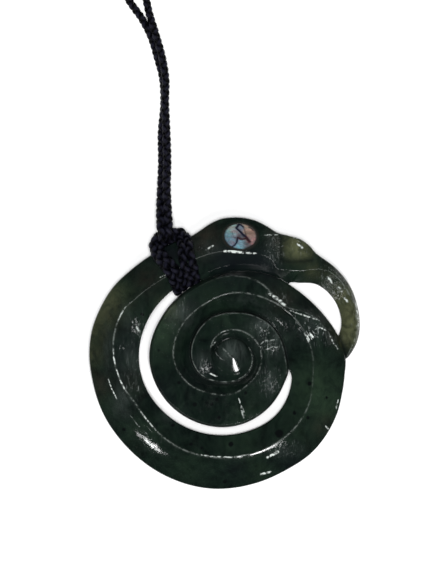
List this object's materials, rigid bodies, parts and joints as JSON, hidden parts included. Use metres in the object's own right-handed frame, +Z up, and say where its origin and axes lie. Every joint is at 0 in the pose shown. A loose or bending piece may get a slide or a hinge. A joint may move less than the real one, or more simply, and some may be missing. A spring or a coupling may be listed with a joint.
{
  "type": "manaia pendant necklace",
  "caption": "Carved greenstone manaia pendant: a spiral with a beaked head and shell eye, hitched to a braided cord neck loop with a barrel clasp.",
  "frame": {"origin": "on the surface that the pendant lies on, below the middle of the stone's outline", "axes": "+X to the right and +Y towards the neck loop as the picture shows it, +Z up out of the carved front"},
  "size_m": [0.0656, 0.2222, 0.011],
  "materials": {
    "greenstone": "polished, dark green nephrite",
    "shell": "polished paua shell, iridescent",
    "cord": "waxed braid, satin",
    "barrel": "oiled dark wood, satin"
  },
  "bodies": {
    "root": {"spiral_stone": "greenstone", "shell_eye": "shell", "cord_hitch": "cord", "neck_cord": "cord", "cord_clasp": "barrel"}
  },
  "joints": []
}
